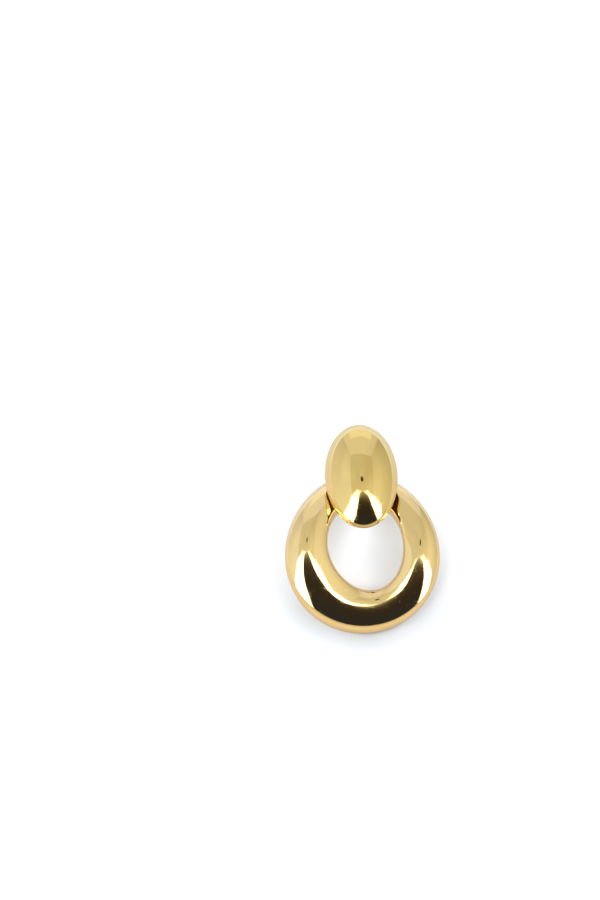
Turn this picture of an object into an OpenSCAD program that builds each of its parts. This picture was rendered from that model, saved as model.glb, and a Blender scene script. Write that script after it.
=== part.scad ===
// Door-knocker earring, lying face up: an oval dome, a bowed hoop that swings on a bar inside the
// dome, and a plain clip behind them. Millimetres. +Z faces the viewer, +Y is the dome's end,
// z = 0 is the surface it lies on, and the origin is under the middle of the whole earring.

/* [Dome] */
// Width across the oval dome
dome_w = 17.0; // [16:0.1:18]
// Length of the oval dome
dome_l = 24.3; // [23:0.1:26]
// Height of the dome from its rim to its crown
dome_h = 5.9; // [5:0.1:7]
// Height of the upright edge that the dome's crown rises from
dome_edge = 1.3; // [1:0.1:1.6]
// Wall thickness of the hollow dome
dome_wall = 1.0; // [0.8:0.1:1.2]
// Degrees that the dome's upper end leans to the left
dome_lean = 4.5; // [0:0.5:6]
// Degrees that the dome tips down at its upper end
dome_tip = 1.5; // [0:0.1:2]
// Degrees that the dome tips down on its left
dome_roll = 1.0; // [0:0.1:1.5]
// Height of the dome's rim above the surface
rim_z = 11.4; // [11.3:0.1:12.5]
// Distance from the hoop's middle up to the dome's middle
dome_up = 18.05; // [17.5:0.05:19]
// How far left of the hoop's middle the dome's middle lies
dome_left = 0.17; // [0:0.01:0.3]
// Thickness of the plate that closes the upper part of the dome
plate_t = 0.8; // [0.6:0.1:1]

/* [Hoop] */
// Width of the hoop over its outer edge
hoop_w = 36.3; // [34:0.1:38]
// Length of the hoop over its outer edge
hoop_l = 37.7; // [36:0.1:39]
// Width of the hoop's hole
hole_w = 17.5; // [16:0.1:18.5]
// Length of the hoop's hole
hole_l = 20.6; // [19:0.1:21.5]
// How far right of the hoop's middle the hole's middle lies
hole_right = 0.93; // [0:0.01:1.2]
// How far above the hoop's middle the hole's middle lies
hole_up = 1.55; // [1:0.01:2]
// Roundness of the section's outer shoulder, 2 being an ellipse
outer_round = 2.0; // [1.7:0.05:2.2]
// Roundness of the section's inner shoulder, 2 being an ellipse
inner_round = 1.55; // [1.4:0.05:2.2]
// Width of the small roll along the inner edge
roll_wide = 0.7; // [0.5:0.1:0.9]
// How far that roll turns down
roll_deep = 0.9; // [0.6:0.1:1]
// How much wider the roll is by the hinge
roll_wider = 1.5; // [0:0.1:1.6]
// How much farther the roll turns down by the hinge
roll_deeper = 1.8; // [0:0.1:2]
// Sections round the hoop
stations = 72; // [48:8:96]

/* [Hinge] */
// Diameter of the bar that carries the hoop
bar_d = 1.2; // [1:0.1:1.4]
// Radial clearance between the bar and the knuckle's bore
bar_gap = 0.05; // [0.03:0.01:0.08]
// Outer diameter of the knuckle
knuckle_d = 2.6; // [2.4:0.1:3]
// Length of the knuckle along the bar
knuckle_l = 5.6; // [4:0.2:8]
// Height of the bar's middle above the dome's rim
bar_up = 0.8; // [0.7:0.05:1]
// Gap between the knuckle and what lies before and behind it
knuckle_room = 0.35; // [0.3:0.05:0.45]
// Thickness of the lug that joins the hoop to its knuckle
lug_t = 1.8; // [1.4:0.1:2]
// How far in from the hoop's upper edge the lug's foot starts
lug_in = 3.0; // [2.6:0.1:3.2]
// How far below the hoop's crest the lug's foot is sunk
lug_deep = 2.2; // [2:0.1:2.6]

/* [Clip] */
// Width of the clip's strip
clip_w = 7.0; // [6:0.2:8]
// Thickness of the clip's strip
clip_t = 1.0; // [0.8:0.1:1.2]
// Outer bend radius of the strip
clip_r = 2.4; // [2:0.1:3]
// Gap between the clip and the dome's closing plate
clip_gap = 0.1; // [0.05:0.01:0.3]
// How far the clip's back lies above the bar
clip_up = 7.0; // [6.6:0.1:7.4]
// How far the paddle's free end lies below the bar
paddle_down = 3.2; // [3:0.1:4]
// How far behind the closing plate's edge the clip's seat starts
seat_in = 0.2; // [0:0.1:1]

/* [Hidden] */
$fn = 96;

// Sections round the hoop. Place in degrees from +X, height of the crest above the surface, drop
// from the crest to the inner and to the outer edge, where the crest lies from the inner edge 0
// to the outer edge 1, and thickness below the crest.
AT = 0; CREST = 1; DROP_IN = 2; DROP_OUT = 3; PLACE = 4; DEEP = 5;
SECTIONS = [
    [  0, 10.13, 1.03, 2.54, 0.434, 6.0],
    [ 45,  9.05, 0.10, 2.02, 0.576, 5.1],
    [ 90,  8.09, 1.59, 2.59, 0.417, 3.9],
    [135, 11.15, 1.79, 3.10, 0.469, 5.3],
    [180, 12.70, 1.72, 2.89, 0.471, 6.9],
    [225,  9.93, 0.97, 5.37, 0.352, 7.2],
    [270,  7.66, 1.39, 6.47, 0.245, 7.6],
    [315,  8.29, 0.72, 5.04, 0.229, 6.9]
];
// Share of the section's width that rounds off into the back, at the outer and the inner edge
BACK_OUT = 0.30;
BACK_IN = 0.16;
// How much each outline swells towards its lower (-) or upper (+) end, and its lean in degrees
OUTER_EGG = [-0.036, 6.7];
HOLE_EGG = [0.064, 15.7];
// Between which degrees round the hoop the roll grows on the right, and shrinks again on the left
GROWS = [5, 60];
SHRINKS = [120, 170];

// A smooth wave through the table's evenly spaced rows
function kernel(d, n) = abs(sin(d / 2)) < 1e-9 ? 1 : sin(n * d / 2) / (n * tan(d / 2));
function row_mix(at, col) =
    let (n = len(SECTIONS))
    [for (r = SECTIONS) r[col] * kernel(at - r[AT], n)] * [for (r = SECTIONS) 1];

// Point of an egg-shaped outline of width w and length l, at the given place round it
function egg(at, w, l, swell_lean) =
    let (
        lean = swell_lean[1],
        t = at - lean,
        u = w / 2 * cos(t) * (1 + swell_lean[0] * sin(t)),
        v = l / 2 * sin(t)
    )
    [u * cos(lean) - v * sin(lean), u * sin(lean) + v * cos(lean)];
function outer_edge(at) = egg(at, hoop_w, hoop_l, OUTER_EGG);
function inner_edge(at) = egg(at, hole_w, hole_l, HOLE_EGG) + [hole_right, hole_up];

// How much of the larger roll there is here: 0 round the hole's lower part, 1 by the hinge
function eased(share) =
    let (s = min(max(share, 0), 1))
    s * s * (3 - 2 * s);
function by_hinge(at) =
    eased((at - GROWS[0]) / (GROWS[1] - GROWS[0]))
    * eased((SHRINKS[1] - at) / (SHRINKS[1] - SHRINKS[0]));

// How far a roll this wide and deep lowers a point this far from the inner edge
function roll(from_edge, wide, deep) =
    let (near = max(1 - from_edge / wide, 0))
    deep * (1 - sqrt(1 - near * near));

// One closed section as [place across, height] pairs: inner shoulder, outer shoulder, the
// rounding below it, the flat back and the rounding up to the inner edge
function section(at) =
    let (
        w = norm(outer_edge(at) - inner_edge(at)),
        top = row_mix(at, CREST),
        f = row_mix(at, PLACE),
        zi = top - row_mix(at, DROP_IN),
        zo = top - row_mix(at, DROP_OUT),
        zb = top - row_mix(at, DEEP),
        wide = roll_wide + roll_wider * by_hinge(at),
        deep = min(roll_deep + roll_deeper * by_hinge(at), 0.8 * (zi - zb)),
        zr = zi - deep,
        ei = 2 / inner_round,
        eo = 2 / outer_round
    )
    concat(
        [for (a = [0:12:84])
            let (across = f * (1 - pow(cos(a), ei)))
            [across, zi + (top - zi) * pow(sin(a), ei) - roll(across * w, wide, deep)]],
        [for (a = [90:-10:10]) [f + (1 - f) * pow(cos(a), eo), zo + (top - zo) * pow(sin(a), eo)]],
        [for (a = [0:18:90]) [1 - BACK_OUT * (1 - cos(a)), zo - (zo - zb) * sin(a)]],
        [for (a = [90:-18:18]) [BACK_IN * (1 - cos(a)), zr - (zr - zb) * sin(a)]]
    );

places = [for (i = [0:stations - 1]) i * 360 / stations];
sections = [for (at = places) section(at)];
lowest = min([for (s = sections) min([for (p = s) p[1]])]);
outer_points = [for (at = places) outer_edge(at)];

// Where the hoop's middle lies, so that the origin is under the middle of the whole earring
dome_reach = sqrt(pow(dome_w / 2 * sin(dome_lean), 2) + pow(dome_l / 2 * cos(dome_lean), 2));
hoop_x = -(min([for (p = outer_points) p[0]]) + max([for (p = outer_points) p[0]])) / 2;
hoop_y = -(min([for (p = outer_points) p[1]]) + dome_up + dome_reach) / 2;
dome_at = [hoop_x - dome_left, hoop_y + dome_up, rim_z];

// The bar lies just beyond the hoop's upper edge, and its ends are sunk in the dome's wall
bar_y = hoop_y + hoop_l / 2 + knuckle_d / 2 + knuckle_room;
bar_z = rim_z + bar_up;
bar_half = dome_w / 2 - 0.75 * dome_wall;
plate_y = bar_y + knuckle_d / 2 + knuckle_room;

// The dome's form, made smaller all round by the given amount: an oval with an upright edge,
// under a crown that is the top of a larger ellipsoid
module half_egg(less) {
    crown_h = dome_h - dome_edge;
    cut = dome_h / crown_h - 1;
    grow = 1 / sqrt(1 - cut * cut);
    egg_h = crown_h / (1 - cut);
    shrink = (crown_h - less) / crown_h;
    intersection() {
        scale([dome_w / 2 - less, dome_l / 2 - less, 1])
            cylinder(r = 1, h = dome_h);
        translate([0, 0, dome_edge - cut * egg_h * shrink])
            scale([(dome_w / 2 - less) * grow, (dome_l / 2 - less) * grow, egg_h * shrink])
                sphere(r = 1);
    }
}

module dome_frame() {
    translate(dome_at)
        rotate([-dome_tip, -dome_roll, dome_lean])
            children();
}

// Hollow polished dome, with its closing plate and hinge bar soldered in
module oval_dome() {
    color("goldenrod")
    union() {
        dome_frame()
            difference() {
                half_egg(0);
                half_egg(dome_wall);
            }
        intersection() {
            dome_frame()
                half_egg(dome_wall / 2);
            translate([-dome_w, plate_y, rim_z])
                cube([2 * dome_w, dome_l, plate_t]);
        }
        translate([dome_at[0] - bar_half, bar_y, bar_z])
            rotate([0, 90, 0])
                cylinder(d = bar_d, h = 2 * bar_half);
    }
}

// The bowed ring, lofted through its sections
module ring() {
    m = len(sections[0]);
    n = stations;
    points = [
        for (i = [0:n - 1])
            let (a = inner_edge(places[i]), b = outer_edge(places[i]))
            for (p = sections[i])
                [a[0] + (b[0] - a[0]) * p[0], a[1] + (b[1] - a[1]) * p[0], p[1] - lowest]
    ];
    faces = [
        for (i = [0:n - 1], j = [0:m - 1])
            let (i2 = (i + 1) % n, j2 = (j + 1) % m)
            [i * m + j, i2 * m + j, i2 * m + j2, i * m + j2]
    ];
    translate([hoop_x, hoop_y, 0])
        polyhedron(points = points, faces = faces);
}

// Bowed hoop with the lug and the bored knuckle that hang it on the bar
module hoop() {
    foot_y = hoop_y + hoop_l / 2 - lug_in;
    foot_z = SECTIONS[2][CREST] - lowest - lug_deep;
    color("gold")
    difference() {
        union() {
            ring();
            translate([dome_at[0] - knuckle_l / 2, bar_y, bar_z])
                rotate([0, 90, 0])
                    cylinder(d = knuckle_d, h = knuckle_l);
            translate([dome_at[0] - knuckle_l / 2, 0, 0])
                rotate([90, 0, 90])
                    linear_extrude(knuckle_l)
                        polygon([
                            [bar_y - knuckle_d / 2, bar_z],
                            [foot_y - lug_t / 3, foot_z + lug_t],
                            [foot_y, foot_z],
                            [foot_y + lug_t, foot_z],
                            [bar_y, bar_z - knuckle_d / 2],
                            [bar_y, bar_z]
                        ]);
        }
        translate([dome_at[0] - knuckle_l, bar_y, bar_z])
            rotate([0, 90, 0])
                cylinder(d = bar_d + 2 * bar_gap, h = 2 * knuckle_l);
    }
}

// Outline of a rectangle with round corners, from one corner to the other
module round_box(low, high, r) {
    translate([low[0] + r, low[1]])
        square([high[0] - low[0] - 2 * r, high[1] - low[1]]);
    translate([low[0], low[1] + r])
        square([high[0] - low[0], high[1] - low[1] - 2 * r]);
    for (x = [low[0] + r, high[0] - r], y = [low[1] + r, high[1] - r])
        translate([x, y])
            circle(r = r);
}

// Plain clip: a strip bent to a C, from its seat on the closing plate round to the paddle that
// lies on the surface. A closed loop of strip is cut off before the seat and round the paddle's end.
module ear_clip() {
    back_y = bar_y + clip_up;
    seat_y = plate_y + seat_in;
    seat_z = rim_z - clip_gap;
    tip_y = bar_y - paddle_down;
    loop_y = tip_y - clip_w;
    inner_r = clip_r - clip_t;
    color("khaki")
    intersection() {
        translate([dome_at[0] - clip_w / 2, 0, 0])
            rotate([90, 0, 90])
                linear_extrude(clip_w)
                    difference() {
                        round_box([loop_y, 0], [back_y, seat_z], clip_r);
                        round_box([loop_y + clip_t, clip_t], [back_y - clip_t, seat_z - clip_t], inner_r);
                        translate([loop_y, clip_t])
                            square([seat_y - loop_y, seat_z]);
                    }
        translate([dome_at[0], tip_y + clip_w / 2, 0])
            linear_extrude(rim_z)
                union() {
                    circle(d = clip_w);
                    translate([-clip_w / 2, 0])
                        square([clip_w, dome_l]);
                }
    }
}

oval_dome();
hoop();
ear_clip();
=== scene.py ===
"""Looks of a polished door-knocker earring that lies face up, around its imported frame. Metres."""
import math
import bmesh
import bpy
from mathutils import Matrix, Vector


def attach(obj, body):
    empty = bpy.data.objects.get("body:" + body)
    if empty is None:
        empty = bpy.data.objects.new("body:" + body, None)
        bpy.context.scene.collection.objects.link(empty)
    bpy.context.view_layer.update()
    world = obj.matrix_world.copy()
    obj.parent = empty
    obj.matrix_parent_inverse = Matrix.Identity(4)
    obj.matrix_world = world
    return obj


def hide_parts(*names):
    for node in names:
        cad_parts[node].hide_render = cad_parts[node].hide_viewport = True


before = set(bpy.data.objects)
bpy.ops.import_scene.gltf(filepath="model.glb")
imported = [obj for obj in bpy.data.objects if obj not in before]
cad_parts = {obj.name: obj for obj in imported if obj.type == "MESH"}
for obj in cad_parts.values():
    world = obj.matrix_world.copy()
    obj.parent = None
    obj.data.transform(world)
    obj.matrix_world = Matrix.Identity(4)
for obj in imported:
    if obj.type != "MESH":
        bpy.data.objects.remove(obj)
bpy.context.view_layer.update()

# Camera. The photograph looks straight down on the earring from far off, through a long lens, and
# its middle lies up and to the left of the earring, so the camera turns a little to that point.
MM = 0.001
PIXEL = 0.235 * MM   # of the photograph, at the earring
FRAME_TALL = 900 * PIXEL
SENSOR = 36
camera_place = Vector((0, -4, 2000)) * MM
seen_middle = Vector((-14.67, 18.68, 6)) * MM
look = seen_middle - camera_place
camera_data = bpy.data.cameras.new("camera")
camera_data.sensor_fit = "VERTICAL"
camera_data.sensor_height = SENSOR
camera_data.lens = SENSOR * look.length / FRAME_TALL
camera_data.clip_start = 10 * MM
camera = bpy.data.objects.new("camera", camera_data)
bpy.context.scene.collection.objects.link(camera)
camera.location = camera_place
side = look.cross(Vector((0, 1, 0))).normalized()
above = side.cross(look).normalized()
camera.rotation_euler = Matrix((side, above, -look.normalized())).transposed().to_euler()
bpy.context.scene.camera = camera
bpy.context.scene.view_settings.view_transform = "Standard"


# Light tent. A white cloth box with its front open to a dark room: a ceiling with the lens in it,
# two side walls, a back wall, and a bright lamp-lit strip at each side of the opening. Each form
# lies where the polished gold mirrors it.
def tone(code):
    """Linear red, green, blue of an sRGB hex colour."""
    parts = [int(code[i:i + 2], 16) / 255 for i in (0, 2, 4)]
    return [p / 12.92 if p <= 0.04045 else ((p + 0.055) / 1.055) ** 2.4 for p in parts]


def add(tree, kind, sockets, **settings):
    """Adds a node to tree, or takes the one given, and sets or links its settings and sockets."""
    node = tree.nodes.new("ShaderNode" + kind) if isinstance(kind, str) else kind
    for name, value in settings.items():
        setattr(node, name, value)
    for key, value in sockets.items():
        socket = node.inputs[key]
        if isinstance(value, bpy.types.NodeSocket):
            tree.links.new(value, socket)
        elif isinstance(value, bpy.types.Node):
            tree.links.new(value.outputs[0], socket)
        elif socket.type == "RGBA":
            socket.default_value = (*value, 1)
        else:
            socket.default_value = value
    return node


def set_stops(ramp, stops):
    """Gives a colour ramp these stops, each a place from 0 to 1 and an sRGB hex colour."""
    for place, code in stops:
        ramp.elements.new(place).color = (*tone(code), 1)
    ramp.elements.remove(ramp.elements[0])
    ramp.elements.remove(ramp.elements[-1])


world = bpy.data.worlds.new("light_tent")
bpy.context.scene.world = world
world.use_nodes = True
tent = world.node_tree
tent.nodes.clear()

# Where a mirrored ray goes: its degrees down from straight above, its degrees round from the open
# front with + on the right, and which face of the box it meets, whose ceiling is 1 high.
TENT_HALF_WIDTH, TENT_BACK = 0.47, 0.54
x, y, z = add(tent, "SeparateXYZ", {0: add(tent, "TexCoord", {}).outputs["Generated"]}).outputs
down = add(tent, "Math", {0: add(tent, "Math", {0: z}, operation="ARCCOSINE")}, operation="DEGREES")
to_front = add(tent, "Math", {0: y, 1: -1}, operation="MULTIPLY")
round_it = add(tent, "Math", {0: x, 1: to_front}, operation="ARCTAN2")
round_it = add(tent, "Math", {0: round_it}, operation="DEGREES")
off_front = add(tent, "Math", {0: round_it}, operation="ABSOLUTE")
to_side = add(tent, "Math", {0: x}, operation="ABSOLUTE")
to_side = add(tent, "Math", {0: to_side, 1: TENT_HALF_WIDTH}, operation="DIVIDE")
to_back = add(tent, "Math", {0: y, 1: TENT_BACK}, operation="DIVIDE")
to_wall = add(tent, "Math", {0: to_side, 1: to_back}, operation="MAXIMUM")
over_walls = add(tent, "Math", {0: z, 1: to_wall}, operation="SUBTRACT")
past_sides = add(tent, "Math", {0: to_back, 1: to_side}, operation="SUBTRACT")
off_seam = add(tent, "Math", {0: over_walls}, operation="ABSOLUTE")

# How the cloth changes over the tent: along what, from one place and value to another, and whether
# evenly or gently. Then the cloth's tones at those places, and how much brighter it is high up.
CHANGES = {
    "right": (x, {-0.02: 0, 0.02: 1}, "LINEAR"),
    "back": (past_sides, {-0.01: 0, 0.01: 1}, "LINEAR"),
    "ceiling": (over_walls, {-0.01: 0, 0.01: 1}, "LINEAR"),
    "seam": (off_seam, {0: 0.88, 0.03: 1}, "LINEAR"),
    "left_front": (round_it, {-135: 0, -55: 1}, "LINEAR"),
    "right_back": (round_it, {60: 0, 135: 1}, "LINEAR"),
    "right_foot": (down, {55: 1, 80: 0.88}, "LINEAR"),
    "back_off_corner": (round_it, {165: 0, 125: 1}, "LINEAR"),
    "back_low": (down, {60: 0, 64: 1}, "SMOOTHSTEP"),
    "back_middle": (off_front, {149: 0, 156: 1}, "SMOOTHSTEP"),
    "ceiling_front": (y, {0.3: 0, -0.2: 1}, "SMOOTHSTEP"),
    "ceiling_right": (x, {-0.1: 0, 0.35: 1}, "SMOOTHSTEP"),
    "high": (down, {42: 1, 58: 0}, "SMOOTHSTEP"),
    "off_lens": (down, {8: 0, 20: 1}, "SMOOTHSTEP"),
    "off_left_front": (round_it, {-75: 0, -95: 1}, "LINEAR"),
    "lamp_rise": (down, {11: 0.85, 32: 4.2}, "LINEAR"),
    "past_lens": (down, {2.4: 0, 3.6: 1}, "LINEAR"),
    "table": (z, {0: 0, -0.01: 1}, "LINEAR")}
LEFT_FRONT, LEFT_BACK = "F9F9FF", "D6D6DC"
RIGHT_FRONT, RIGHT_BACK = "EFEBE0", "CECCC1"
BACK, BACK_CORNER, BACK_LOW = "E0DFE4", "D2D1D5", "F4F3F6"
CEILING_BACK, CEILING_FRONT, CEILING_RIGHT = "CDCBC5", "E0DCCE", "C9C2B2"
BRIGHTER_HIGH = 1.11

change = {}
for name, (along, ends, curve) in CHANGES.items():
    (start, first), (end, last) = ends.items()
    change[name] = add(tent, "MapRange", {0: along, 1: start, 2: end, 3: first, 4: last},
                       interpolation_type=curve)
left = add(tent, "MixRGB", {0: change["left_front"], 1: tone(LEFT_BACK), 2: tone(LEFT_FRONT)})
right = add(tent, "MixRGB", {0: change["right_back"], 1: tone(RIGHT_FRONT), 2: tone(RIGHT_BACK)})
right = add(tent, "VectorMath", {0: right, "Scale": change["right_foot"]}, operation="SCALE")
sides = add(tent, "MixRGB", {0: change["right"], 1: left, 2: right})
corner = add(tent, "Math", {0: change["back_off_corner"], 1: change["right"]}, operation="MULTIPLY")
low = add(tent, "Math", {0: change["back_low"], 1: change["back_middle"]}, operation="MULTIPLY")
back = add(tent, "MixRGB", {0: corner, 1: tone(BACK), 2: tone(BACK_CORNER)})
back = add(tent, "MixRGB", {0: low, 1: back, 2: tone(BACK_LOW)})
walls = add(tent, "MixRGB", {0: change["back"], 1: sides, 2: back})
ceiling = add(tent, "MixRGB", {0: change["ceiling_right"], 1: tone(CEILING_BACK), 2: tone(CEILING_RIGHT)})
ceiling = add(tent, "MixRGB", {0: change["ceiling_front"], 1: ceiling, 2: tone(CEILING_FRONT)})
cloth = add(tent, "MixRGB", {0: change["ceiling"], 1: walls, 2: ceiling})
cloth = add(tent, "VectorMath", {0: cloth, "Scale": change["seam"]}, operation="SCALE")
high = add(tent, "Math", {0: change["high"], 1: change["off_lens"]}, operation="MULTIPLY")
high = add(tent, "Math", {0: high, 1: change["back"]}, operation="MAXIMUM")
allowed = add(tent, "Math", {0: change["off_left_front"], 1: change["right"]}, operation="MAXIMUM")
high = add(tent, "Math", {0: high, 1: allowed}, operation="MULTIPLY")
brighter = add(tent, "MapRange", {0: high, 3: 1, 4: BRIGHTER_HIGH})
cloth = add(tent, "VectorMath", {0: cloth, "Scale": brighter}, operation="SCALE")

# The lamp-lit front of the tent, and the dark opening in it. The left and the right side stand at
# these degrees round, at two places down, and flare by so many more near the top. The arched top
# has its middle, how fast it falls away to the sides, and the degrees down where it starts and is
# whole. Then the tones of the dark room by degrees down, of the lens, and of what the camera sees.
FRONT = {
    "lit": {"left": ({30: -51, 48: -46}, 5), "right": ({62: 55, 84: 47}, -8), "top": (0, 0.002, 11.8, 15.2)},
    "dark": {"left": ({62: -22, 82: -25}, 0), "right": ({62: 36, 82: 36}, 0), "top": (2, 0.008, 12.6, 15.0)}}
FLARE_WHOLE, FLARE_END, SOFT_SIDE = 22, 36, 2
ROOM_DOWN = 80
ROOM = [(12, "DAD9D7"), (14.6, "B9B8B2"), (17, "969489"), (19, "7E7C76"), (21.5, "60594C"), (24, "51483D"),
        (28, "423A34"), (35, "352F2E"), (50, "322D2E"), (70, "2E303A")]
LENS = "40301C"
BACKDROP = "F8F8F8"

within, arches = {}, {}
for name, form in FRONT.items():
    middle, fall, start, whole = form["top"]
    off_middle = add(tent, "Math", {0: round_it, 1: middle}, operation="SUBTRACT")
    off_middle = add(tent, "Math", {0: off_middle, 1: 2}, operation="POWER")
    arches[name] = add(tent, "Math", {0: off_middle, 1: -fall, 2: down}, operation="MULTIPLY_ADD")
    within[name] = add(tent, "MapRange", {0: arches[name], 1: start, 2: whole},
                       interpolation_type="SMOOTHSTEP")
    for (line, more), soft in ((form["left"], SOFT_SIDE), (form["right"], -SOFT_SIDE)):
        (upper, at_upper), (lower, at_lower) = line.items()
        edge = add(tent, "MapRange", {0: down, 1: upper, 2: lower, 3: at_upper, 4: at_lower})
        flare = add(tent, "MapRange", {0: down, 1: FLARE_WHOLE, 2: FLARE_END, 3: more, 4: 0})
        edge = add(tent, "Math", {0: edge, 1: flare}, operation="ADD")
        inward = add(tent, "Math", {0: round_it, 1: edge}, operation="SUBTRACT")
        inward = add(tent, "MapRange", {0: inward, 1: -soft, 2: soft}, interpolation_type="SMOOTHSTEP")
        within[name] = add(tent, "Math", {0: within[name], 1: inward}, operation="MULTIPLY")
lights = add(tent, "MixRGB", {0: within["lit"], 1: cloth, 2: change["lamp_rise"]})
room = add(tent, "ValToRGB", {0: add(tent, "MapRange", {0: arches["dark"], 1: 0, 2: ROOM_DOWN})})
set_stops(room.color_ramp, [(place / ROOM_DOWN, code) for place, code in ROOM])
lights = add(tent, "MixRGB", {0: within["dark"], 1: lights, 2: room})
lights = add(tent, "MixRGB", {0: change["past_lens"], 1: tone(LENS), 2: lights})
lights = add(tent, "MixRGB", {0: change["table"], 1: lights, 2: tone(BACKDROP)})
seen = add(tent, "LightPath", {}).outputs["Is Camera Ray"]
lights = add(tent, "MixRGB", {0: seen, 1: lights, 2: tone(BACKDROP)})
add(tent, "OutputWorld", {"Surface": add(tent, "Background", {"Color": lights, "Strength": 1})})

# The tent shows in the gold alone. Lamps of their own light the floor.
world.cycles_visibility.diffuse = False

# Floor. A plain white table top that the earring lies on. Soft lamps behind it light it until it is almost
# pure white, with faint shade close to the hoop, and what the gold mirrors of it is painted a little darker,
# as painted shade.
FLOOR_HALF = 600
floor_mesh = bmesh.new()
bmesh.ops.create_grid(floor_mesh, x_segments=1, y_segments=1, size=FLOOR_HALF)


def keep(bm, name):
    """Makes the finished bmesh, drawn in millimetres, an object of this name."""
    bmesh.ops.scale(bm, vec=(MM,) * 3, verts=bm.verts)
    mesh = bpy.data.meshes.new(name)
    bm.to_mesh(mesh)
    bm.free()
    mesh.shade_smooth()
    piece = bpy.data.objects.new(name, mesh)
    bpy.context.scene.collection.objects.link(piece)
    return piece


floor = keep(floor_mesh, "floor")

# Matt white laminate. It scatters the lamps' light evenly and has no gloss. What the gold mirrors of it is
# painted darker than the white the camera sees, as painted shade, and turns from a warm to a cool white from
# the front to the back, here in millimetres from the middle; the warm front is also painted light bounced off
# the gold.
TABLE_WHITE = "E1E6EC"
PAINTED_SHADE_IN_MIRROR = [(-90, "B3AA9D"), (-35, "CEC3BB"), (8, "BCBBCE"), (45, "BABED8"), (120, "B6C4FF")]
RAMP_HALF = 200
table_top = bpy.data.materials.new("white_laminate_and_painted_shade")
table_top.use_nodes = True
top = table_top.node_tree
seen = add(top, "LightPath", {}).outputs["Is Camera Ray"]
spot = add(top, "SeparateXYZ", {0: add(top, "TexCoord", {}).outputs["Object"]})
to_back = add(top, "MapRange", {0: spot.outputs[1], 1: -RAMP_HALF * MM, 2: RAMP_HALF * MM})
# Painted shade: the floor as the gold mirrors it, darker than it is, warm at the front and cool at the back.
mirrored_shade_ramp = add(top, "ValToRGB", {0: to_back})
set_stops(mirrored_shade_ramp.color_ramp, [((place + RAMP_HALF) / (2 * RAMP_HALF), code) for place, code in PAINTED_SHADE_IN_MIRROR])
white = add(top, "MixRGB", {0: seen, 1: mirrored_shade_ramp, 2: tone(TABLE_WHITE)})
add(top, top.nodes["Principled BSDF"], {"Base Color": white, "Roughness": 0.9, "Specular IOR Level": 0})
floor.data.materials.append(table_top)

# Soft lamps round the tent: place and size in millimetres, and watts. They face the earring and
# light the floor alone, because the gold mirrors the tent.
LAMPS = {
    "low_right_lamp": ((686, 686, 242), (700, 300), 9.7),
    "low_back_lamp": ((0, 970, 242), (700, 300), 3.6),
    "low_left_lamp": ((-686, 686, 242), (700, 300), 10.2),
    "low_side_lamp": ((-970, 0, 242), (700, 300), 10.0),
    "right_lamp": ((429, 247, 495), (350, 350), 1.7),
    "back_lamp": ((0, 495, 495), (350, 350), 1.7),
    "high_right_lamp": ((329, 0, 618), (350, 350), 1.1),
    "high_left_lamp": ((-239, 0, 658), (350, 350), 1.8)}
for name, (place, (width, depth), watts) in LAMPS.items():
    lamp_data = bpy.data.lights.new(name, "AREA")
    lamp_data.shape = "RECTANGLE"
    lamp_data.size, lamp_data.size_y = width * MM, depth * MM
    lamp_data.energy = watts
    lamp = bpy.data.objects.new(name, lamp_data)
    lamp.location = Vector(place) * MM
    lamp.rotation_euler = (-lamp.location).to_track_quat("-Z", "Y").to_euler()
    lamp.visible_glossy = lamp.visible_camera = False
    bpy.context.scene.collection.objects.link(lamp)

# Dome. A hollow oval cup, pressed from sheet brass, mirror-polished and gold-plated. It tips a
# little towards its upper end and its left, and leans left, as it lies.
DOME_W, DOME_L, DOME_H = 17.0, 24.3, 5.9
DOME_WALL, DOME_EDGE = 1.0, 1.3
DOME_TIP, DOME_ROLL, DOME_LEAN = 1.5, 1.0, 4.5
DOME_MIDDLE = Vector((-0.2452, 12.3842, 11.4))
DOME_CUTS = 63
RIM_SOFT, RIM_STEPS, SHARP = 0.18, 4, 18
dome_turn = (Matrix.Rotation(math.radians(DOME_LEAN), 4, "Z")
             @ Matrix.Rotation(math.radians(-DOME_ROLL), 4, "Y")
             @ Matrix.Rotation(math.radians(-DOME_TIP), 4, "X"))

# The crown is the top of a larger ellipsoid, cut where it is as wide as the dome.
cut = DOME_H / (DOME_H - DOME_EDGE) - 1
egg_h = (DOME_H - DOME_EDGE) / (1 - cut)
grow = 1 / math.sqrt(1 - cut * cut)
cup = bmesh.new()
bmesh.ops.create_cube(cup, size=2)
bmesh.ops.subdivide_edges(cup, edges=cup.edges, cuts=DOME_CUTS, use_grid_fill=True)
for v in cup.verts:
    v.co.normalize()
bmesh.ops.bisect_plane(cup, geom=[*cup.verts, *cup.edges, *cup.faces], dist=1e-5,
                       plane_co=(0, 0, cut), plane_no=(0, 0, -1), clear_outer=True)
bmesh.ops.scale(cup, vec=(DOME_W / 2 * grow, DOME_L / 2 * grow, egg_h), verts=cup.verts)
bmesh.ops.translate(cup, vec=(0, 0, DOME_EDGE - cut * egg_h), verts=cup.verts)


def new_corners(made):
    """The corners that an extrude added."""
    return [g for g in made["geom"] if isinstance(g, bmesh.types.BMVert)]


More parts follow.
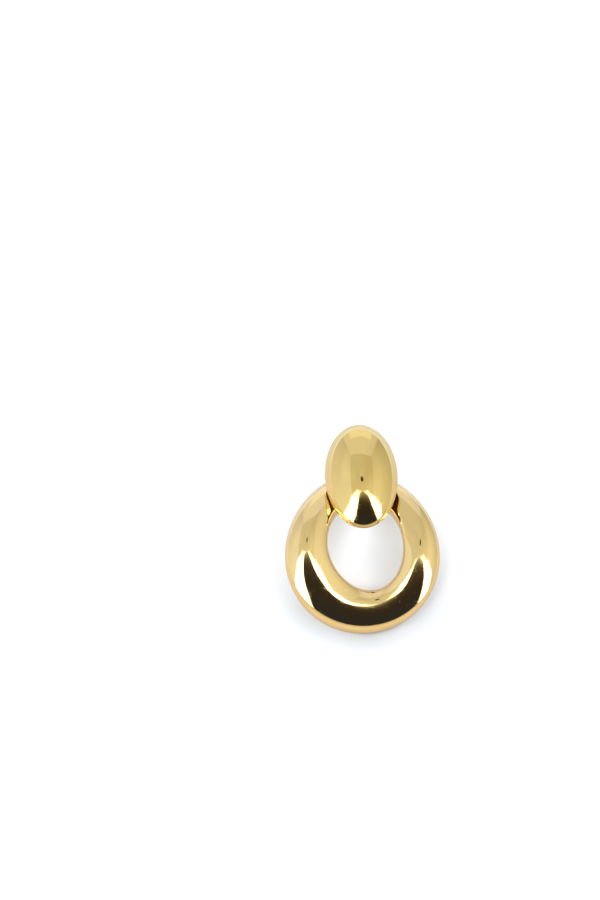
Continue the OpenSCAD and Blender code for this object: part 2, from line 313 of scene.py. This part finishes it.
open_edge = [e for e in cup.edges if e.is_boundary]
drawn = bmesh.ops.extrude_edge_only(cup, edges=open_edge)
bmesh.ops.translate(cup, vec=(0, 0, -DOME_EDGE), verts=new_corners(drawn))
bmesh.ops.recalc_face_normals(cup, faces=cup.faces)
outside = set(cup.faces)
bmesh.ops.solidify(cup, geom=cup.faces, thickness=DOME_WALL)
PLATED, BARE = 0, 1
for f in cup.faces:
    f.material_index = PLATED if f in outside else BARE
rim = [e for e in cup.edges if e.calc_face_angle(0) > math.radians(SHARP)]
bmesh.ops.bevel(cup, geom=rim, offset=RIM_SOFT, segments=RIM_STEPS, profile=0.5, affect="EDGES", material=-1)
bmesh.ops.transform(cup, matrix=Matrix.Translation(DOME_MIDDLE) @ dome_turn, verts=cup.verts)
dome = keep(cup, "polished_dome")

# Gold plate over brass, buffed on a wheel to a mirror. It shows the tent almost sharply, a little
# wavy because the sheet was pressed, with sparse hairlines from wear and small specks of dust. The
# hairlines and specks are drawn about 0.1 mm wide, coarser than the real ones, so that they show.
DRIFT, WORN, WAVE = 9 * MM, 4 * MM, 6 * MM
WORN_FROM, WORN_WHOLE = 0.4, 0.55
WAVE_HIGH, HAIR_DEEP = 0.012 * MM, 0.001 * MM
HAIR_LONG, HAIR_WIDE = 1.6 * MM, 0.13 * MM
HAIR_LAYERS = [(25, 0), (70, 3), (-40, 7)]   # degrees, and where in the noise the layer starts
HAIR_FROM, HAIR_WHOLE = 0.71, 0.79
SPECKS_APART, SPECKS_LEFT_OUT = 1.5 * MM, 0.7
SPECK_FROM, SPECK_WHOLE = 0.06, 0.03
DUST, DUST_COVERS, DUST_METALLIC = "CFC8BC", 0.5, 0.2
ROUGH_KEPT, ROUGH_WORN, HAIR_ROUGHER, SPECK_ROUGHER = 0.035, 0.055, 0.12, 0.4


def buffed_gold(name, pale, deep):
    """The buffed plate in the two tones that its colour drifts between."""
    gold = bpy.data.materials.new(name)
    gold.use_nodes = True
    plated = gold.node_tree
    place = add(plated, "TexCoord", {}).outputs["Object"]
    cloudy = add(plated, "TexNoise", {"Vector": place, "Scale": 1 / DRIFT, "Detail": 1})
    colour = add(plated, "MixRGB", {0: cloudy, 1: tone(pale), 2: tone(deep)})
    worn = add(plated, "TexNoise", {"Vector": place, "Scale": 1 / WORN, "Detail": 2})
    worn = add(plated, "MapRange", {0: worn, 1: WORN_FROM, 2: WORN_WHOLE})
    hairs = 0
    for angle, begin in HAIR_LAYERS:
        laid = add(plated, "Mapping", {
            "Vector": place, "Location": (begin,) * 3, "Rotation": (0, 0, math.radians(angle)),
            "Scale": (1 / HAIR_LONG, 1 / HAIR_WIDE, 1 / HAIR_LONG)})
        streak = add(plated, "TexNoise", {"Vector": laid, "Scale": 1, "Detail": 0})
        streak = add(plated, "MapRange", {0: streak, 1: HAIR_FROM, 2: HAIR_WHOLE})
        hairs = add(plated, "Math", {0: hairs, 1: streak}, operation="MAXIMUM")
    hairs = add(plated, "Math", {0: hairs, 1: worn}, operation="MULTIPLY")
    cells = add(plated, "TexVoronoi", {"Vector": place, "Scale": 1 / SPECKS_APART})
    near = add(plated, "MapRange", {0: cells.outputs["Distance"], 1: SPECK_FROM, 2: SPECK_WHOLE})
    some = add(plated, "SeparateXYZ", {0: cells.outputs["Color"]})
    some = add(plated, "Math", {0: some, 1: SPECKS_LEFT_OUT}, operation="GREATER_THAN")
    specks = add(plated, "Math", {0: near, 1: some}, operation="MULTIPLY")
    dusty = add(plated, "Math", {0: specks, 1: DUST_COVERS}, operation="MULTIPLY")
    rough = add(plated, "MapRange", {0: worn, 3: ROUGH_KEPT, 4: ROUGH_WORN})
    rough = add(plated, "Math", {0: hairs, 1: HAIR_ROUGHER, 2: rough}, operation="MULTIPLY_ADD")
    rough = add(plated, "Math", {0: specks, 1: SPECK_ROUGHER, 2: rough}, operation="MULTIPLY_ADD")
    wavy = add(plated, "TexNoise", {"Vector": place, "Scale": 1 / WAVE, "Detail": 0})
    wavy = add(plated, "Bump", {"Height": wavy, "Distance": WAVE_HIGH, "Strength": 1})
    scratched = add(plated, "Bump", {"Height": hairs, "Distance": HAIR_DEEP, "Strength": 1, "Normal": wavy},
                    invert=True)
    add(plated, plated.nodes["Principled BSDF"], {
        "Base Color": add(plated, "MixRGB", {0: dusty, 1: colour, 2: tone(DUST)}),
        "Metallic": add(plated, "MapRange", {0: dusty, 3: 1, 4: DUST_METALLIC}),
        "Roughness": rough, "Normal": scratched})
    return gold


dome.data.materials.append(buffed_gold("buffed_gold_plate_dome", "F4DA90", "F1D588"))

# Bare brass, as the press left it and gone brown. It looks dull and dark in the hollow, blotched
# and dimmed by tarnish, with a fine tooth from the press, drawn 0.25 mm apart so that it shows.
BROWN, DARK_BROWN = "7E5628", "553619"
BLOTCH, TOOTH, TOOTH_HIGH = 2.5 * MM, 0.25 * MM, 0.008 * MM
BLOTCH_FROM, BLOTCH_WHOLE = 0.4, 0.6
ROUGH_BROWN, ROUGH_DARK = 0.38, 0.55
raw = bpy.data.materials.new("tarnished_pressed_brass")
raw.use_nodes = True
brass = raw.node_tree
place = add(brass, "TexCoord", {}).outputs["Object"]
blotch = add(brass, "TexNoise", {"Vector": place, "Scale": 1 / BLOTCH, "Detail": 4})
blotch = add(brass, "MapRange", {0: blotch, 1: BLOTCH_FROM, 2: BLOTCH_WHOLE})
tooth = add(brass, "TexNoise", {"Vector": place, "Scale": 1 / TOOTH, "Detail": 1})
add(brass, brass.nodes["Principled BSDF"], {
    "Base Color": add(brass, "MixRGB", {0: blotch, 1: tone(BROWN), 2: tone(DARK_BROWN)}),
    "Roughness": add(brass, "MapRange", {0: blotch, 3: ROUGH_BROWN, 4: ROUGH_DARK}), "Metallic": 1,
    "Normal": add(brass, "Bump", {"Height": tooth, "Distance": TOOTH_HIGH, "Strength": 1})})
dome.data.materials.append(raw)
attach(dome, "dome")
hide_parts("oval_dome")

# Closing plate. Flat sheet brass, sawn to half an oval and soldered across the upper part of the
# dome's open back, where the clip is fixed to it. Satin, because no polishing wheel reaches in.
PLATE_W, PLATE_L, PLATE_T = 15.7, 22.9, 0.8
PLATE_FROM = 16.4842
PLATE_SOFT, PLATE_STEPS = 0.15, 128
plate = bmesh.new()
bmesh.ops.create_circle(plate, cap_ends=True, segments=PLATE_STEPS, radius=0.5)
bmesh.ops.scale(plate, vec=(PLATE_W, PLATE_L, 1), verts=plate.verts)
lean = Matrix.Rotation(math.radians(DOME_LEAN), 4, "Z")
bmesh.ops.transform(plate, matrix=Matrix.Translation(DOME_MIDDLE) @ lean, verts=plate.verts)
bmesh.ops.bisect_plane(plate, geom=[*plate.verts, *plate.edges, *plate.faces], dist=1e-5,
                       plane_co=(0, PLATE_FROM, 0), plane_no=(0, -1, 0), clear_outer=True)
risen = bmesh.ops.extrude_face_region(plate, geom=plate.faces[:])
bmesh.ops.translate(plate, vec=(0, 0, PLATE_T), verts=new_corners(risen))
bmesh.ops.recalc_face_normals(plate, faces=plate.faces)


def soften(piece, width):
    """Rounds the sharp edges of the piece by this width in millimetres."""
    bevel = piece.modifiers.new("soft_edges", "BEVEL")
    bevel.width = width * MM
    bevel.segments = 3
    bevel.limit_method = "ANGLE"
    bevel.angle_limit = math.radians(40)
    bevel.harden_normals = True


closing_plate = keep(plate, "closing_plate")

# Gold plate over brass, only brushed with a wire wheel and not buffed. It gives a soft sheen with
# fine brush lines across the piece, drawn 0.08 mm apart so that they show, and darker worn patches.
SATIN, SATIN_WORN = "D9B465", "C7A053"
PATCH, LINE_LONG, LINES_APART, LINE_DEEP = 3 * MM, 2.2 * MM, 0.08 * MM, 0.01 * MM
PATCH_FROM, PATCH_WHOLE = 0.4, 0.62
ROUGH_SATIN, ROUGH_PATCH, LINE_ROUGHER = 0.18, 0.26, 0.14
satin = bpy.data.materials.new("wire_brushed_gold_plate")
satin.use_nodes = True
brushed = satin.node_tree
place = add(brushed, "TexCoord", {}).outputs["Object"]
patch = add(brushed, "TexNoise", {"Vector": place, "Scale": 1 / PATCH, "Detail": 3})
patch = add(brushed, "MapRange", {0: patch, 1: PATCH_FROM, 2: PATCH_WHOLE})
along = add(brushed, "Mapping", {"Vector": place, "Scale": (1 / LINE_LONG, 1 / LINES_APART, 1 / LINES_APART)})
lines = add(brushed, "TexNoise", {"Vector": along, "Scale": 1, "Detail": 2})
rough = add(brushed, "MapRange", {0: patch, 3: ROUGH_SATIN, 4: ROUGH_PATCH})
rough = add(brushed, "Math", {0: lines, 1: LINE_ROUGHER, 2: rough}, operation="MULTIPLY_ADD")
add(brushed, brushed.nodes["Principled BSDF"], {
    "Base Color": add(brushed, "MixRGB", {0: patch, 1: tone(SATIN), 2: tone(SATIN_WORN)}),
    "Roughness": rough, "Metallic": 1,
    "Normal": add(brushed, "Bump", {"Height": lines, "Distance": LINE_DEEP, "Strength": 1})})
closing_plate.data.materials.append(satin)
soften(closing_plate, PLATE_SOFT)
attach(closing_plate, "dome")
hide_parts("oval_dome")

# Hinge bar. Round brass wire across the dome's hollow, soldered into its wall at both ends with a
# small flare of solder. The hoop hangs on it.
BAR_Y, BAR_Z, BAR_R = 14.8342, 12.2, 0.6
BAR_HALF = 7.75
FLARE = [(BAR_HALF, 1.05), (7.45, 0.98), (7.1, 0.74), (6.7, 0.63), (6.2, BAR_R)]
BAR_STEPS = 32
profile = [(-x, r) for x, r in FLARE] + FLARE[::-1]
wire = bmesh.new()
corners = [wire.verts.new((x, 0, r)) for x, r in [(-BAR_HALF, 0), *profile, (BAR_HALF, 0)]]
line = [wire.edges.new(pair) for pair in zip(corners, corners[1:])]
bmesh.ops.spin(wire, geom=[*corners, *line], cent=(0, 0, 0), axis=(1, 0, 0), angle=2 * math.pi,
               steps=BAR_STEPS, use_merge=True)
bmesh.ops.remove_doubles(wire, verts=wire.verts, dist=1e-4)
bmesh.ops.recalc_face_normals(wire, faces=wire.faces)
bmesh.ops.translate(wire, vec=(DOME_MIDDLE.x, BAR_Y, BAR_Z), verts=wire.verts)
hinge_bar = keep(wire, "hinge_bar")
hinge_bar.data.materials.append(satin)
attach(hinge_bar, "dome")
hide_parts("oval_dome")

# Hoop. A thick bowed ring, pressed from sheet brass in a front and a back that are soldered
# together, then buffed and gold-plated. Its section swells at the lower left and thins under the
# dome, its outer and inner edges are rounded, and the hole's edge is turned in with a small roll.
HOOP_MIDDLE = Vector((-0.0752, -5.6658, 0))
HOOP_W, HOOP_L, OUTER_SWELL, OUTER_LEAN = 36.3, 37.7, -0.036, 6.7
HOLE_W, HOLE_L, HOLE_SWELL, HOLE_LEAN = 17.5, 20.6, 0.064, 15.7
HOLE_MIDDLE = Vector((0.93, 1.55, 0))
OUTER_ROUND, INNER_ROUND = 2.0, 1.55
BACK_OUT, BACK_IN = 0.30, 0.16

# The roll: its width and depth, how much of both is added by the hinge, and between which degrees
# round the hoop that grows on the right and shrinks again on the left.
ROLL_WIDE, ROLL_DEEP = 0.7, 0.9
ROLL_WIDER, ROLL_DEEPER = 1.5, 1.8
GROW_FROM, GROWN, SHRINK_FROM, SHRUNK = 5, 60, 120, 170
ROLL_MOST = 0.8   # of the section's height at the inner edge

# Sections: degrees round the hoop, height of the crest, drop from it to the inner and to the outer
# edge, where the crest lies from the inner edge 0 to the outer edge 1, and thickness below it. On
# the same scale, the height of the table is LOWEST.
SECTIONS = [
    (0, 10.13, 1.03, 2.54, 0.434, 6.0),
    (45, 9.05, 0.10, 2.02, 0.576, 5.1),
    (90, 8.09, 1.59, 2.59, 0.417, 3.9),
    (135, 11.15, 1.79, 3.10, 0.469, 5.3),
    (180, 12.70, 1.72, 2.89, 0.471, 6.9),
    (225, 9.93, 0.97, 5.37, 0.352, 7.2),
    (270, 7.66, 1.39, 6.47, 0.245, 7.6),
    (315, 8.29, 0.72, 5.04, 0.229, 6.9)]
LOWEST = -0.0307
STATIONS, POINTS = 288, 96


def kernel(d, n):
    """A wave that is 1 at the row itself and 0 at the other rows."""
    return 1 if abs(math.sin(d / 2)) < 1e-9 else math.sin(n * d / 2) / (n * math.tan(d / 2))


def row_mix(at):
    """The section's figures at this place round the hoop, on a smooth wave through the table."""
    waves = [kernel(at - math.radians(row[0]), len(SECTIONS)) for row in SECTIONS]
    return [sum(w * row[i] for w, row in zip(waves, SECTIONS)) for i in range(1, 6)]


def egg(at, width, length, swell, lean):
    """A point of an egg-shaped outline."""
    t = at - math.radians(lean)
    u = width / 2 * math.cos(t) * (1 + swell * math.sin(t))
    v = length / 2 * math.sin(t)
    return Matrix.Rotation(math.radians(lean), 3, "Z") @ Vector((u, v, 0))


def by_hinge(at):
    """How much of the larger roll there is here: 0 round the hole's lower part, 1 by the hinge."""
    degrees = math.degrees(at) % 360
    ways = [(degrees - GROW_FROM) / (GROWN - GROW_FROM), (SHRUNK - degrees) / (SHRUNK - SHRINK_FROM)]
    ways = [min(max(way, 0), 1) for way in ways]
    return math.prod(way * way * (3 - 2 * way) for way in ways)


def ring_point(at, a):
    """A point of the hoop's surface: at goes round the hoop, a round its section from the inner edge."""
    crest, drop_in, drop_out, place, thick = row_mix(at)
    inner_z, outer_z, back_z = crest - drop_in, crest - drop_out, crest - thick
    wide = ROLL_WIDE + ROLL_WIDER * by_hinge(at)
    deep = min(ROLL_DEEP + ROLL_DEEPER * by_hinge(at), ROLL_MOST * (inner_z - back_z))
    c, s = abs(math.cos(a)), abs(math.sin(a))
    if a <= math.pi / 2:
        e = 2 / INNER_ROUND
        across, height = place * (1 - c ** e), inner_z + (crest - inner_z) * s ** e
    elif a <= math.pi:
        e = 2 / OUTER_ROUND
        across, height = place + (1 - place) * c ** e, outer_z + (crest - outer_z) * s ** e
    elif a <= 1.5 * math.pi:
        across, height = 1 - BACK_OUT * (1 - c), outer_z - (outer_z - back_z) * s
    else:
        across, height = BACK_IN * (1 - c), inner_z - deep - (inner_z - deep - back_z) * s
    inner = HOLE_MIDDLE + egg(at, HOLE_W, HOLE_L, HOLE_SWELL, HOLE_LEAN)
    outer = egg(at, HOOP_W, HOOP_L, OUTER_SWELL, OUTER_LEAN)
    if a <= math.pi / 2:
        near = max(1 - across * (outer - inner).length / wide, 0)
        height -= deep * (1 - math.sqrt(1 - near * near))
    return HOOP_MIDDLE + inner.lerp(outer, across) + Vector((0, 0, height - LOWEST))


# A round ring comes first, and each of its points then goes to its place in the real section.
WHEEL, TUBE = 10, 4
ring = bmesh.new()
bmesh.ops.create_circle(ring, segments=POINTS, radius=TUBE,
                        matrix=Matrix.Translation((WHEEL, 0, 0)) @ Matrix.Rotation(math.pi / 2, 4, "X"))
bmesh.ops.spin(ring, geom=[*ring.verts, *ring.edges], cent=(0, 0, 0), axis=(0, 0, 1),
               angle=2 * math.pi, steps=STATIONS, use_merge=True)
for v in ring.verts:
    at = math.atan2(v.co.y, v.co.x)
    a = math.atan2(v.co.z, WHEEL - math.hypot(v.co.x, v.co.y)) % (2 * math.pi)
    v.co = ring_point(at, a)
bmesh.ops.recalc_face_normals(ring, faces=ring.faces)
hoop = keep(ring, "bowed_hoop")
# The hoop's copy of the plate is painted paler than the dome's, as painted light that brightens what the hoop
# mirrors.
hoop.data.materials.append(buffed_gold("hoop_gold_plate_painted_paler", "FAE1A2", "F8DC99"))
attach(hoop, "hoop")
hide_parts("hoop")

# Lug and knuckle. A brass lug soldered to the hoop's back, rolled round at its end into the knuckle
# that turns on the hinge bar. It is drawn from the side, as (y, z), and extruded to its length.
KNUCKLE_R, BORE_R, KNUCKLE_L = 1.3, 0.65, 5.6
LUG_SIDE = [(13.5342, 12.2), (9.584, 7.719), (10.184, 5.919), (11.984, 5.919), (14.8342, 10.9)]
KNUCKLE_STEPS = 64
LUG_SOFT = 0.12


def along_lug(share):
    """The point this share of the way along the lug's side, from the knuckle's front to under it."""
    ends = [Vector(p) for p in LUG_SIDE]
    lengths = [(b - a).length for a, b in zip(ends, ends[1:])]
    left = share * sum(lengths)
    for a, b, length in zip(ends, ends[1:], lengths):
        if left <= length:
            return a.lerp(b, left / length)
        left -= length
    return ends[-1]


lug = bmesh.new()
bmesh.ops.create_circle(lug, segments=KNUCKLE_STEPS, radius=BORE_R)
skin = bmesh.ops.create_circle(lug, segments=KNUCKLE_STEPS, radius=KNUCKLE_R)["verts"]
bmesh.ops.bridge_loops(lug, edges=lug.edges[:])
for v in skin:
    a = math.atan2(v.co.y, v.co.x) % (2 * math.pi)
    if math.pi < a < 1.5 * math.pi:
        v.co.xy = along_lug((a - math.pi) / (math.pi / 2)) - Vector((BAR_Y, BAR_Z))
upright = Matrix(((0, 0, 1), (1, 0, 0), (0, 1, 0))).to_4x4()
lug_place = Matrix.Translation((DOME_MIDDLE.x - KNUCKLE_L / 2, BAR_Y, BAR_Z))
bmesh.ops.transform(lug, matrix=lug_place @ upright, verts=lug.verts)
risen = bmesh.ops.extrude_face_region(lug, geom=lug.faces[:])
bmesh.ops.translate(lug, vec=(KNUCKLE_L, 0, 0), verts=new_corners(risen))
bmesh.ops.recalc_face_normals(lug, faces=lug.faces)
hoop_lug = keep(lug, "hoop_lug")
soften(hoop_lug, LUG_SOFT)
hoop_lug.data.materials.append(satin)
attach(hoop_lug, "hoop")
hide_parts("hoop")

# Clip. One spring-brass strip bent to a C: its seat lies under the closing plate, its back goes
# round behind the dome's upper end, and its round-ended paddle lies on the table.
CLIP_W, CLIP_T, CLIP_R = 7.0, 1.0, 2.4
SEAT_FROM, SEAT_TOP, CLIP_BACK, TIP_Y = 16.6842, 11.3, 21.8342, 11.6342
BEND_STEPS, PADDLE_STEPS = 12, 48
CLIP_SOFT = 0.15
paddle_y, bend_y = TIP_Y + CLIP_W / 2, CLIP_BACK - CLIP_R
quarter = [math.pi / 2 * i / BEND_STEPS for i in range(BEND_STEPS + 1)]
path = [(SEAT_FROM, SEAT_TOP)]
path += [(bend_y + CLIP_R * math.sin(a), SEAT_TOP - CLIP_R + CLIP_R * math.cos(a)) for a in quarter]
path += [(bend_y + CLIP_R * math.cos(a), CLIP_R - CLIP_R * math.sin(a)) for a in quarter]
path += [(paddle_y, 0)]
strip = bmesh.new()
bmesh.ops.create_circle(strip, cap_ends=True, segments=PADDLE_STEPS, radius=CLIP_W / 2,
                        matrix=Matrix.Translation((0, paddle_y, 0)))
bmesh.ops.bisect_plane(strip, geom=[*strip.verts, *strip.edges, *strip.faces], dist=1e-4,
                       plane_co=(0, paddle_y, 0), plane_no=(0, 1, 0), clear_outer=True)
ends = [strip.verts.new((x, *path[0])) for x in (-CLIP_W / 2, CLIP_W / 2)]
edges = [strip.edges.new(ends)]
for (y0, z0), (y1, z1) in zip(path, path[1:]):
    risen = bmesh.ops.extrude_edge_only(strip, edges=edges)
    edges = [g for g in risen["geom"] if isinstance(g, bmesh.types.BMEdge)]
    bmesh.ops.translate(strip, vec=(0, y1 - y0, z1 - z0), verts=new_corners(risen))
bmesh.ops.remove_doubles(strip, verts=strip.verts, dist=1e-3)
bmesh.ops.translate(strip, vec=(DOME_MIDDLE.x, 0, 0), verts=strip.verts)
bmesh.ops.recalc_face_normals(strip, faces=strip.faces)
if max(strip.faces, key=lambda f: f.calc_center_median().z).normal.z < 0:
    bmesh.ops.reverse_faces(strip, faces=strip.faces)
bmesh.ops.solidify(strip, geom=strip.faces, thickness=CLIP_T)
ear_clip = keep(strip, "clip_strip")
soften(ear_clip, CLIP_SOFT)
ear_clip.data.materials.append(satin)
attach(ear_clip, "dome")
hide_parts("ear_clip")
